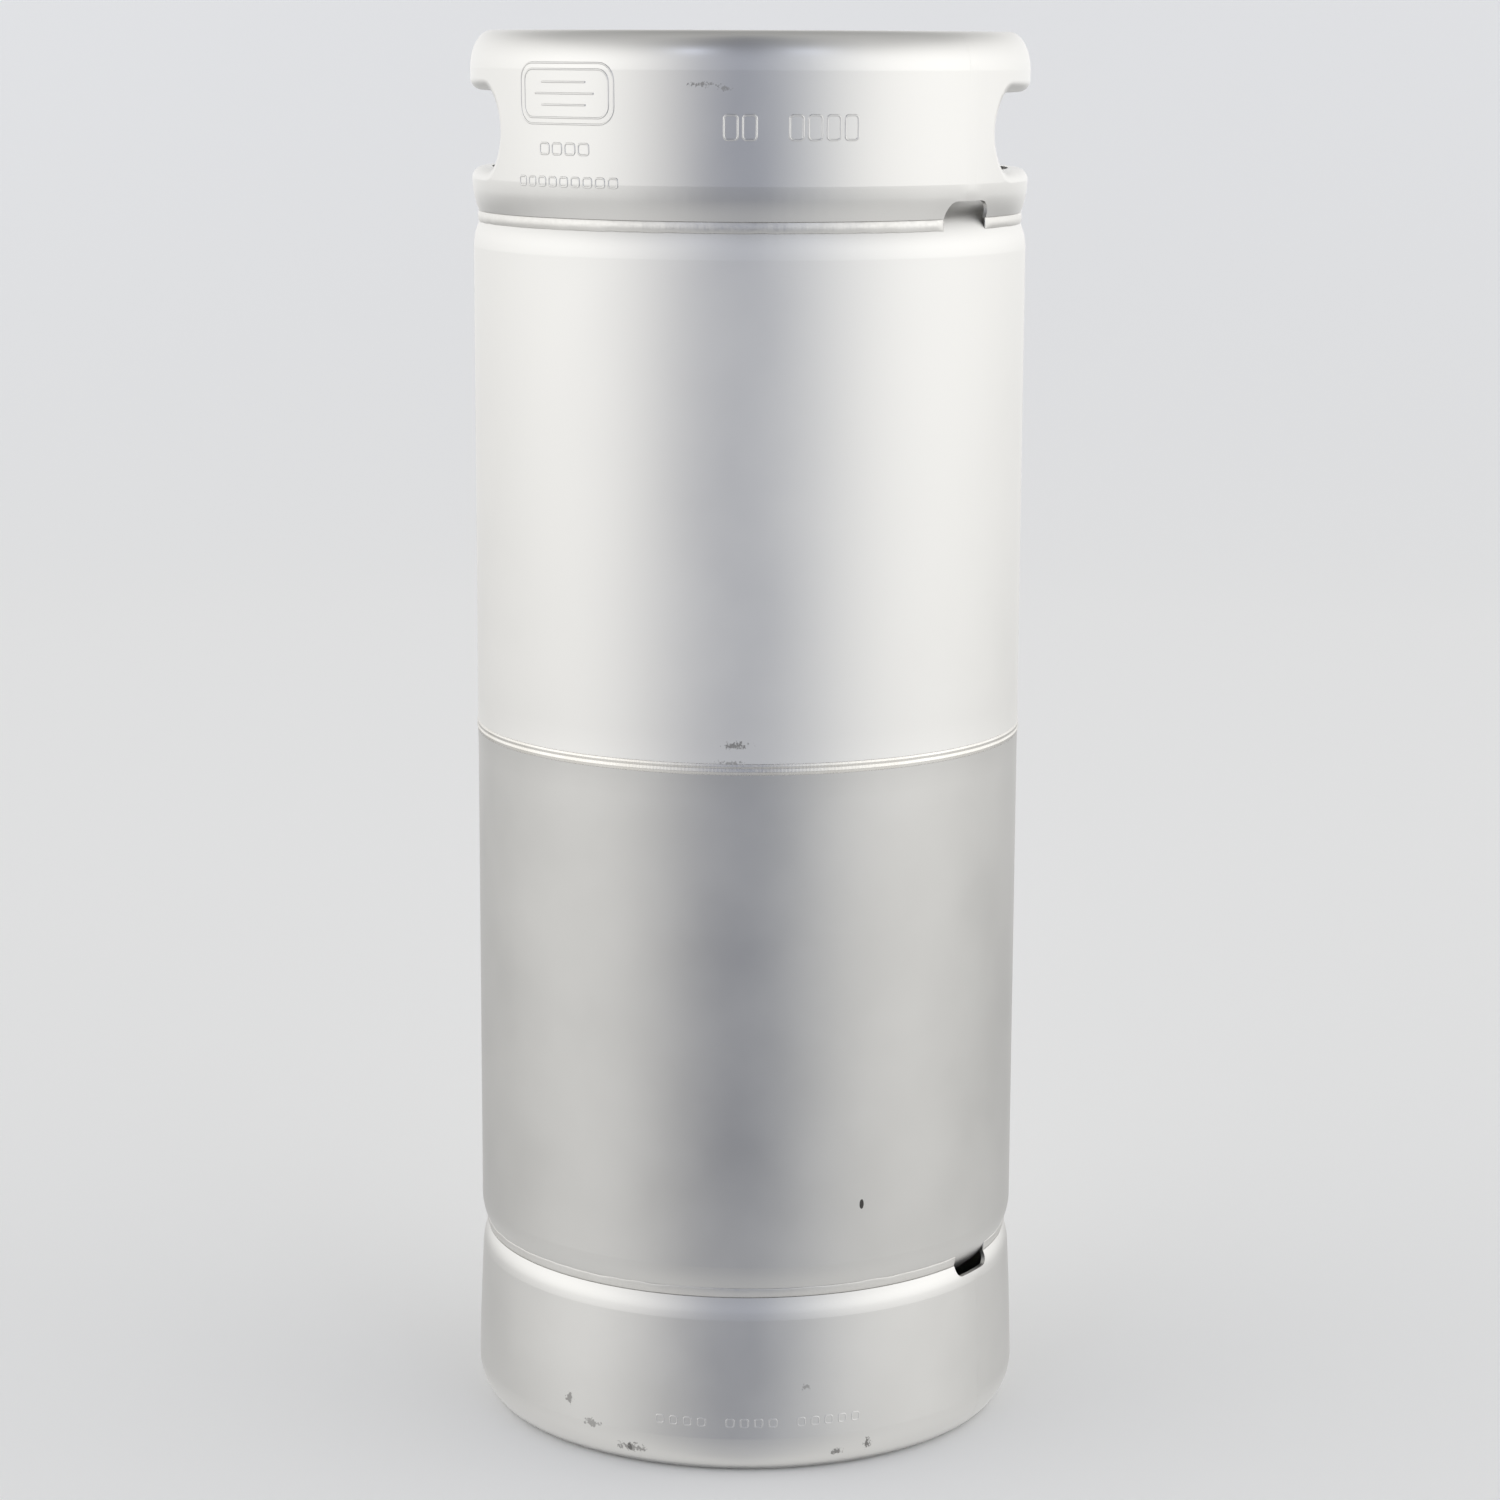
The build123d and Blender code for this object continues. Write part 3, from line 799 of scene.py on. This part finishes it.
@dataclass
class RaisedLine:
    """A thin raised line pressed out of a sheet, following its surface."""

    skin: Skin
    reference_mm: float
    width: float = 0.9
    height: float = 0.28
    step: float = 0.8

    def sections(self, path: Sequence[Point2], closed: bool) -> list[list[Vector]]:
        """Sections across the line, from a path of arc length and height, in mm.

        Args:
            path: the line's points, as (arc length from the front, height).
            closed: whether the last point joins the first.

        Returns:
            One closed loop of points for each step along the line.
        """
        points = self._resampled(path, closed)
        count = len(points)
        out = []
        for i, (s, z) in enumerate(points):
            before = points[i - 1] if closed or i else points[i]
            after = points[(i + 1) % count] if closed or i < count - 1 else points[i]
            run = Vector((after[0] - before[0], after[1] - before[1])).normalized()
            side = Vector((-run.y, run.x))
            end = 1.0 if closed else smooth_step(min(i, count - 1 - i) * self.step / self.width)
            loop = []
            for k in range(7):
                across = (k / 6 - 0.5) * self.width
                rise = self.height * math.cos(math.pi * across / self.width) ** 0.8 if 0 < k < 6 else 0
                loop.append(self._lifted(s + side.x * across, z + side.y * across, rise * end - 0.03))
            for across in (self.width / 2, -self.width / 2):
                loop.append(self._lifted(s + side.x * across, z + side.y * across, -0.25))
            out.append(loop)
        return out

    def _lifted(self, s: float, z: float, rise: float) -> Vector:
        """A point above the sheet, by arc length, height and rise in mm."""
        point, outward = self.skin.at(math.degrees(s / self.reference_mm), z * MM)
        return point + outward * rise * MM

    def _resampled(self, path: Sequence[Point2], closed: bool) -> list[Point2]:
        """The path's points, evenly spaced at about the step."""
        corners = list(path) + ([path[0]] if closed else [])
        out: list[Point2] = []
        for (s0, z0), (s1, z1) in zip(corners, corners[1:]):
            pieces = max(1, round(math.hypot(s1 - s0, z1 - z0) / self.step))
            out += [(s0 + (s1 - s0) * i / pieces, z0 + (z1 - z0) * i / pieces) for i in range(pieces)]
        return out if closed else out + [corners[-1]]


def round_box(middle: Point2, width: float, height: float, corner: float) -> list[Point2]:
    """The outline of a box with round corners, anticlockwise, in mm.

    Args:
        middle: its centre.
        width: its width.
        height: its height.
        corner: its corner radius.

    Returns:
        The outline's points.
    """
    out = []
    for quarter, (sx, sy) in enumerate(((1, 1), (-1, 1), (-1, -1), (1, -1))):
        cx = middle[0] + sx * (width / 2 - corner)
        cy = middle[1] + sy * (height / 2 - corner)
        for i in range(7):
            a = math.radians(quarter * 90 + i * 15)
            out.append((cx + corner * math.cos(a), cy + corner * math.sin(a)))
    return out


@dataclass
class PressedMarks:
    """Plain raised shapes where a maker presses its marks: a blank badge and blank boxes."""

    badge_azimuth: float = -39.5
    badge_z: float = 569.0
    badge_width: float = 50.0
    badge_height: float = 24.0
    date_azimuth: float = 8.5
    date_z: float = 556.5
    foot_z: float = 24.0

    def build(self, steel: bpy.types.Material, foot_steel: bpy.types.Material) -> None:
        """Build the collar's and the foot's marks, one piece each.

        Args:
            steel: the collar's material.
            foot_steel: the foot's material.
        """
        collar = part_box("top_chime")[1].x / MM
        middle = math.radians(self.badge_azimuth) * collar
        date = math.radians(self.date_azimuth) * collar
        closed = [
            round_box((middle, self.badge_z), self.badge_width, self.badge_height, 7.0),
            round_box((middle, self.badge_z), self.badge_width - 5, self.badge_height - 5, 4.8),
        ]
        closed += [round_box((middle + 7 * (k - 1.5), 547.2), 5.2, 4.4, 1.2) for k in range(4)]
        closed += [round_box((middle + 6.1 * (k - 4), 534.2), 4.2, 3.6, 1.0) for k in range(9)]
        date_places = (-25, -17.5, 1, 8.5, 16, 23.5)
        closed += [round_box((date + x, self.date_z), 5.4, 9.6, 1.4) for x in date_places]
        bars = [
            [(middle - reach, self.badge_z + dz), (middle + reach, self.badge_z + dz)]
            for dz, reach in ((4.5, 12.0), (0.0, 16.0), (-4.5, 12.0))
        ]
        self._piece("collar_blank_badge", RaisedLine(Skin("top_chime"), collar), closed, bars, steel)
        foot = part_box("bottom_chime")[1].x / MM
        ticks = [
            round_box((foot * math.radians(-17.5 + 2.9 * k), self.foot_z), 3.2, 3.4, 0.9)
            for k in range(15) if k not in (4, 9)
        ]
        faint = RaisedLine(Skin("bottom_chime"), foot, width=0.7, height=0.1)
        self._piece("foot_blank_marks", faint, ticks, [], foot_steel)

    def _piece(
        self,
        name: str,
        line: RaisedLine,
        closed: Iterable[Sequence[Point2]],
        opened: Iterable[Sequence[Point2]],
        steel: bpy.types.Material,
    ) -> None:
        """Join closed and open raised lines into one piece.

        Args:
            name: the piece's name.
            line: the line's section and the sheet that it follows.
            closed: closed paths.
            opened: open paths.
            steel: the sheet's material.
        """
        vertices: list[Vector] = []
        faces: list[list[int]] = []
        for paths, loops in ((closed, True), (opened, False)):
            for path in paths:
                points, skins = sweep(line.sections(path, loops), closed=loops)
                offset = len(vertices)
                vertices += points
                faces += [[k + offset for k in face] for face in skins]
        piece = mesh_piece(name, vertices, faces)
        dress(piece, steel)
        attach(piece, "keg")
        LOG.info("%s: built", name)


@dataclass
class Chimes:
    """The collar and the foot, their upright seams and their ring welds."""

    def dress_sheets(self) -> tuple[bpy.types.Material, bpy.types.Material]:
        """Dress the collar and the foot in rolled sheet, each with its own wear.

        Returns:
            The collar's and the foot's materials.
        """
        collar = SatinStainless(
            "rolled_pickled_sheet_collar",
            roughness=0.32,
            lines_upright=False,
            wear=(
                Wear(Mark.SPECKS, -9.0, 573.0, 117.3, 9.0, 1.6, 0.5),
                Wear(Mark.SPECKS, -5.0, 571.5, 117.3, 4.0, 1.4, 0.4),
            ),
        ).make()
        foot = SatinStainless(
            "rolled_pickled_sheet_foot",
            roughness=0.36,
            lines_upright=False,
            wear=(
                Wear(Mark.SCUFF, -39.0, 25.0, 118.0, 3.0, 3.0, 0.7),
                Wear(Mark.SCUFF, -33.0, 17.0, 118.0, 5.0, 2.5, 0.6),
                Wear(Mark.SCUFF, -24.0, 9.0, 117.5, 9.0, 3.0, 0.65),
                Wear(Mark.CHIP, -24.5, 9.0, 117.5, 1.2, 2.4, 0.5),
                Wear(Mark.SPECKS, 12.5, 39.0, 117.6, 3.0, 2.0, 0.4),
                Wear(Mark.SCUFF, 19.5, 9.0, 117.0, 3.5, 2.0, 0.8),
                Wear(Mark.SPECKS, 26.0, 11.0, 117.5, 3.0, 4.0, 0.7),
            ),
        ).make()
        dress_node("top_chime", collar)
        dress_node("bottom_chime", foot)
        return collar, foot

    def dress_seams(self, collar: bpy.types.Material, foot: bpy.types.Material) -> None:
        """Dress the upright seams, planished flush and pickled with the sheet round them.

        Args:
            collar: the collar's material.
            foot: the foot's material.
        """
        dress_node("top_chime_seam_weld", collar)
        dress_node("bottom_chime_seam_weld", foot)

    def build_ring_welds(self, weld: bpy.types.Material) -> None:
        """Build both ring welds.

        Args:
            weld: the weld's material.
        """
        RingWeld("top_chime_weld", "upper_shell", "top_chime", "collar_weld_bead").build(weld)
        RingWeld("bottom_chime_weld", "lower_shell", "bottom_chime", "foot_weld_bead").build(weld)


@dataclass
class Neck:
    """The neck, its weld and the valve parts that stay in it."""

    ripple_mm: float = 1.6
    ripple_height_mm: float = 0.06
    steps: int = 720

    def dress_parts(self) -> None:
        """Dress the machined and pressed parts."""
        dress_node("neck", TurnedStainless("turned_neck_forging").make())
        dress_node("valve_body", TurnedStainless("turned_valve_body", "CBCAC8", 0.2, 0.6).make())
        dress_node("retaining_ring", DrawnWire("blanked_ring_steel", "B4B3B1", 0.28).make())
        pressed = SatinStainless("pressed_cage_sheet", roughness=0.3, grain_mm=0.6, cloud_mm=14.0)
        dress_node("spring_cage", pressed.make())
        dress_node("body_gasket", MouldedRubber().make())

    def build_weld(self, weld: bpy.types.Material) -> None:
        """Build the fillet round the neck, concave and rippled.

        Args:
            weld: the weld's material.
        """
        low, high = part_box("neck_weld")
        neck_r, toe_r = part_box("neck")[1].x, high.x
        sections = []
        for i in range(self.steps):
            azimuth = 360 * i / self.steps
            along = math.radians(azimuth) * toe_r / MM
            wobble = noise.noise(on_circle(4.0, azimuth, 3.0))
            loop = []
            for j in range(11):
                t = j / 10
                ripple = self.ripple_height_mm * math.sin(
                    2 * math.pi * (along / self.ripple_mm + 0.7 * (2 * t - 1) ** 2)
                )
                curve = (1 - t) ** 1.6
                radius = neck_r + (toe_r + 0.3 * wobble * MM - neck_r) * t
                z = low.z + (high.z - low.z) * curve + ripple * math.sin(math.pi * t) * MM
                loop.append(on_circle(radius, azimuth, z))
            loop.append(on_circle(toe_r - 0.2 * MM, azimuth, low.z - 0.3 * MM))
            loop.append(on_circle(neck_r - 0.3 * MM, azimuth, low.z - 0.1 * MM))
            loop.append(on_circle(neck_r - 0.3 * MM, azimuth, high.z - 0.2 * MM))
            sections.append(loop)
        piece = mesh_piece("neck_weld_bead", *sweep(sections, closed=True))
        dress(piece, weld)
        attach(piece, "keg")
        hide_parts("neck_weld")
        LOG.info("neck_weld_bead: built")


@dataclass
class Coil:
    """A compression spring of round wire, with a closed turn at each end."""

    node: str
    body: str
    joint: str
    travel_mm: float
    name: str
    active_turns: float
    wire_mm: float
    end_turns: float = 0.9
    around: int = 14
    per_turn: int = 48

    def build(self, wire: bpy.types.Material) -> None:
        """Build the spring.

        Args:
            wire: the wire's material.
        """
        low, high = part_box(self.node)
        radius = (high.x - low.x) / 2 - self.wire_mm / 2 * MM
        half = self.wire_mm / 2 * MM
        floor, top = low.z, high.z
        turns = self.active_turns + 2 * self.end_turns
        closed_rise = self.end_turns * self.wire_mm * MM
        active_rise = top - floor - 2 * half - 2 * closed_rise
        count = int(turns * self.per_turn)
        path = []
        for i in range(count + 1):
            turn = turns * i / count
            if turn < self.end_turns:
                rise = closed_rise * turn / self.end_turns
            elif turn > turns - self.end_turns:
                rise = closed_rise + active_rise + closed_rise * (
                    (turn - turns + self.end_turns) / self.end_turns
                )
            else:
                rise = closed_rise + active_rise * (turn - self.end_turns) / self.active_turns
            path.append(on_circle(radius, 360 * turn, floor + half + rise))
        sections = []
        for i, point in enumerate(path):
            run = (path[min(i + 1, count)] - path[max(i - 1, 0)]).normalized()
            outward = Vector((point.x, point.y, 0)).normalized()
            across = run.cross(outward).normalized()
            outward = across.cross(run).normalized()
            sections.append([
                point + (outward * math.cos(a) + across * math.sin(a)) * half
                for a in (2 * math.pi * k / self.around for k in range(self.around))
            ])
        piece = mesh_piece(self.name, *sweep(sections, closed=False))
        dress(piece, wire)
        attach(piece, self.body)
        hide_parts(self.node)
        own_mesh(piece)


@dataclass
class Spear:
    """The seal, its head, the down tube and the ball that slide under a coupler."""

    def dress_parts(self) -> None:
        """Dress the parts that slide."""
        pressed = SatinStainless(
            "pressed_spear_sheet", roughness=0.28, grain_mm=0.6, cloud_mm=14.0
        ).make()
        for node in ("spear_head", "down_tube", "ball_spring_seat"):
            dress_node(node, pressed)
        dress_node("gas_seal", MouldedRubber("moulded_seal_rubber").make())
        dress_node("liquid_ball", LappedSteel().make())

    def build_springs(self) -> None:
        """Build the gas spring and the ball spring."""
        wire = DrawnWire().make()
        travel = {j["name"]: j["range_m"][1] / MM for j in frame["joints"]}
        Coil(
            "gas_spring", "keg", "gas_valve_slide", travel["gas_valve_slide"],
            "gas_spring_coil", active_turns=6, wire_mm=2.2,
        ).build(wire)
        Coil(
            "ball_spring", "spear", "liquid_ball_slide", travel["liquid_ball_slide"],
            "ball_spring_coil", active_turns=5, wire_mm=0.8, around=10,
        ).build(wire)


@dataclass
class Studio:
    """The pale floor, the soft light all round and the camera."""

    cove: str = "F5F5F4"
    floor_radius: float = 2.4
    bend_radius: float = 1.4
    wall_height: float = 4.2
    lens: float = 90.0
    camera_distance: float = 1.601
    camera_height: float = 0.588
    camera_pitch: float = 10.64
    camera_roll: float = 0.235
    shift: float = 0.0016
    # Colour of the room round the keg: (azimuth in degrees, hex colour, brightness).
    round_tones: tuple[tuple[float, str, float], ...] = (
        (-180.0, "FFFFFF", 1.02),
        (-140.0, "FFFFFF", 1.12),
        (-105.0, "FFFFFF", 1.38),
        (-75.0, "FFFFFF", 1.60),
        (-55.0, "FFFFFF", 1.50),
        (-32.0, "FCFCFF", 0.98),
        (-10.0, "DDE5FF", 0.47),
        (6.0, "DDE5FF", 0.47),
        (26.0, "F6F9FF", 1.04),
        (48.0, "FFFFFF", 1.46),
        (78.0, "FFFFFF", 1.64),
        (105.0, "FFFFFF", 1.48),
        (140.0, "FFFFFF", 1.20),
        (180.0, "FFFFFF", 1.02),
    )
    # Brightness of the room by height: (sine of the elevation, factor).
    height_tones: tuple[Point2, ...] = (
        (-1.0, 0.80), (-0.45, 0.78), (-0.34, 0.52), (-0.26, 0.46), (-0.19, 0.58), (-0.13, 0.80),
        (-0.06, 1.16), (0.05, 1.22), (0.35, 1.12), (0.55, 0.8), (0.7, 0.5), (1.0, 0.45),
    )
    # How much of the even pale floor is seen by height: (sine of the elevation, share).
    floor_shares: tuple[Point2, ...] = ((-1.0, 0.6), (-0.45, 0.45), (-0.34, 0.15), (-0.27, 0.0), (1.0, 0.0))
    floor_tone: float = 0.80
    disc_radius: float = 0.112

    def build(self) -> None:
        """Build the floor, the lights and the camera."""
        self._build_cove()
        self._build_disc()
        self._build_room()
        self._light("left_window", -25.0, 33.0, 0.34, 0.8)
        self._light("right_window", 25.0, 33.0, 0.34, 0.8)
        bpy.context.scene.view_settings.view_transform = "Standard"
        self._build_camera()

    def _build_cove(self) -> None:
        """The floor and the wall round it, in one bowl that only the camera sees."""
        profile = [(0.0, 0.0), (0.5, 0.0), (1.2, 0.0), (self.floor_radius, 0.0)]
        profile += [
            (self.floor_radius + self.bend_radius * math.sin(a), self.bend_radius * (1 - math.cos(a)))
            for a in (math.radians(6 * i) for i in range(1, 16))
        ]
        profile.append((self.floor_radius + self.bend_radius, self.wall_height))
        sides = 96
        vertices = [on_circle(r, 360 * i / sides, z) for r, z in profile[1:] for i in range(sides)]
        faces = [list(range(sides))]
        for ring in range(len(profile) - 2):
            for i in range(sides):
                here, there = ring * sides, (ring + 1) * sides
                k = (i + 1) % sides
                faces.append([here + i, there + i, there + k, here + k])
        cove = mesh_piece("studio_cove", vertices, faces)
        dress(cove, self._paint("painted_cove"))
        cove.visible_glossy = False
        cove.visible_diffuse = False
        cove.visible_shadow = False

    def _paint(self, name: str) -> bpy.types.Material:
        """Matt white paint for the floor: it takes no reflections."""
        material = bpy.data.materials.new(name)
        material.use_nodes = True
        shader = material.node_tree.nodes["Principled BSDF"]
        shader.inputs["Base Color"].default_value = linear(self.cove)
        shader.inputs["Roughness"].default_value = 1.0
        shader.inputs["Specular IOR Level"].default_value = 0.0
        return material

    def _build_disc(self) -> None:
        """The patch of floor under the keg, which keeps the light out of its foot."""
        sides = 96
        rim = [on_circle(self.disc_radius, 360 * i / sides, -0.5 * MM) for i in range(sides)]
        disc = mesh_piece("studio_disc", rim, [list(range(sides))])
        dress(disc, self._paint("painted_floor_patch"))

    def _build_room(self) -> None:
        """The light from all round: soft and bright at the sides, dimmer in front."""
        world = bpy.data.worlds.new("soft_room")
        world.use_nodes = True
        tree = world.node_tree
        tree.nodes.clear()
        direction = add_node(tree, "ShaderNodeTexCoord").outputs["Generated"]
        turned = add_node(
            tree, "ShaderNodeMapping", {"Rotation": (0, 0, math.radians(90))}, {"Vector": direction}
        ).outputs["Vector"]
        around = add_node(
            tree, "ShaderNodeTexGradient", {"gradient_type": "RADIAL"}, {"Vector": turned}
        ).outputs["Fac"]
        parts = add_node(tree, "ShaderNodeSeparateXYZ", {}, {"Vector": direction})
        height = add_node(
            tree, "ShaderNodeMapRange",
            {"From Min": -1.0, "From Max": 1.0, "To Min": 0.0, "To Max": 1.0},
            {"Value": parts.outputs["Z"]},
        ).outputs["Result"]
        tones = [((a + 180) / 360, [c * b / 2 for c in linear(h)[:3]]) for a, h, b in self.round_tones]
        levels = [((z + 1) / 2, [f / 2] * 3) for z, f in self.height_tones]
        shares = [((z + 1) / 2, [f] * 3) for z, f in self.floor_shares]
        ramps = []
        for source, stops in ((around, tones), (height, levels), (height, shares)):
            node = add_node(tree, "ShaderNodeValToRGB", {}, {"Fac": source})
            ramp = node.color_ramp
            ramp.interpolation = "B_SPLINE"
            while len(ramp.elements) > 1:
                ramp.elements.remove(ramp.elements[0])
            for i, (place, tone) in enumerate(stops):
                stop = ramp.elements[0] if i == 0 else ramp.elements.new(place)
                stop.position = place
                stop.color = (*tone, 1.0)
            ramps.append(node.outputs["Color"])
        walls = add_node(
            tree, "ShaderNodeMix",
            {"data_type": "RGBA", "blend_type": "MULTIPLY", 0: 1.0}, {6: ramps[0], 7: ramps[1]},
        ).outputs[2]
        floor = (*[self.floor_tone / 4] * 3, 1.0)
        colour = add_node(
            tree, "ShaderNodeMix", {"data_type": "RGBA", 7: floor}, {0: ramps[2], 6: walls}
        ).outputs[2]
        background = add_node(
            tree, "ShaderNodeBackground", {"Strength": 4.0}, {"Color": colour}
        ).outputs["Background"]
        add_node(tree, "ShaderNodeOutputWorld", {}, {"Surface": background})
        bpy.context.scene.world = world

    def _light(self, name: str, azimuth: float, elevation: float, size: float, power: float) -> None:
        """One soft square area light, aimed at the keg's collar.

        Args:
            name: the light's name.
            azimuth: its direction from the keg, in degrees from the front.
            elevation: its height above the collar, in degrees.
            size: its side in metres.
            power: its power in watts.
        """
        light = bpy.data.lights.new(name, "AREA")
        light.size = size
        light.energy = power
        light.color = linear("DDE6FF")[:3]
        lamp = bpy.data.objects.new(name, light)
        aim = Vector((0, 0, 0.55))
        reach = 2.2
        e = math.radians(elevation)
        lamp.location = aim + on_circle(reach * math.cos(e), azimuth, reach * math.sin(e))
        lamp.rotation_euler = (aim - lamp.location).to_track_quat("-Z", "Y").to_euler()
        bpy.context.scene.collection.objects.link(lamp)

    def _build_camera(self) -> None:
        """The camera, a little above the keg and tilted down to it."""
        data = bpy.data.cameras.new("camera")
        data.lens = self.lens
        data.sensor_width = 36.0
        data.shift_x = self.shift
        camera = bpy.data.objects.new("camera", data)
        tilt = Matrix.Rotation(math.radians(90 - self.camera_pitch), 4, "X")
        roll = Matrix.Rotation(math.radians(self.camera_roll), 4, "Z")
        place = Matrix.Translation((0, -self.camera_distance, self.camera_height))
        camera.matrix_world = place @ tilt @ roll
        bpy.context.scene.collection.objects.link(camera)
        bpy.context.scene.camera = camera


def main() -> None:
    """Build the keg's looks in order, then the studio."""
    logging.basicConfig(level=logging.INFO, format="%(name)s: %(message)s")
    weld = WeldMetal().make()
    tank = Tank()
    tank.dress_shells()
    tank.build_girth_weld(weld)
    chimes = Chimes()
    collar_steel, foot_steel = chimes.dress_sheets()
    chimes.dress_seams(collar_steel, foot_steel)
    chimes.build_ring_welds(WeldMetal("pickled_fillet_weld", "D3D2CF", "C8C6C1", 0.38).make())
    PressedMarks().build(collar_steel, foot_steel)
    neck = Neck()
    neck.dress_parts()
    neck.build_weld(weld)
    spear = Spear()
    spear.dress_parts()
    spear.build_springs()
    Studio().build()


if __name__ == "__main__":
    main()
